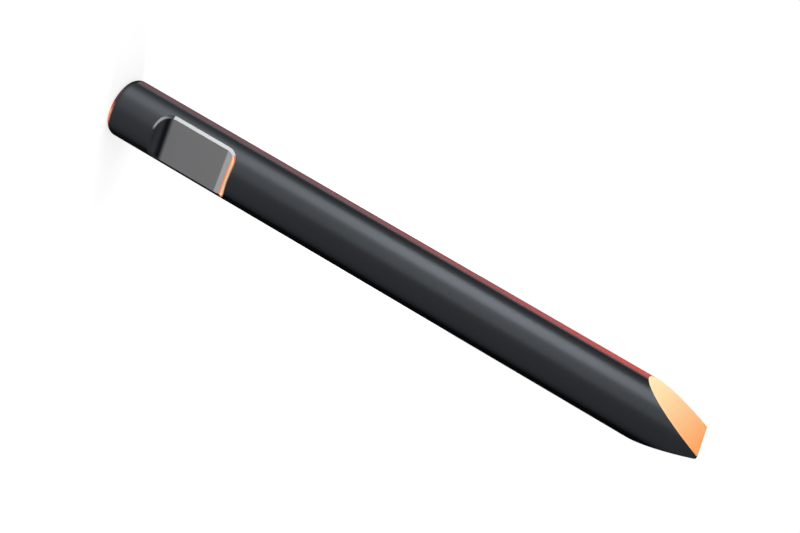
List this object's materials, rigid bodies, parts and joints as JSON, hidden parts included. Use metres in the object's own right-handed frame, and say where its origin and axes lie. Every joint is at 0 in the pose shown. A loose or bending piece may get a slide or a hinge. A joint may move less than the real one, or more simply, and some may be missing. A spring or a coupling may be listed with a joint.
{
  "type": "hydraulic breaker chisel",
  "caption": "Round steel breaker tool with a wedge blade at one end, a flat retainer slot near the other and a rounded struck end.",
  "frame": {"origin": "centre of the struck face, which the tool stands on", "axes": "+Z along the tool towards the blade, -Y out of the retainer slot, X square to the blade's length"},
  "size_m": [0.1, 0.1, 1.058],
  "materials": {
    "tool_steel": "semi-gloss black"
  },
  "bodies": {
    "root": {"chisel": "tool_steel"}
  },
  "joints": []
}
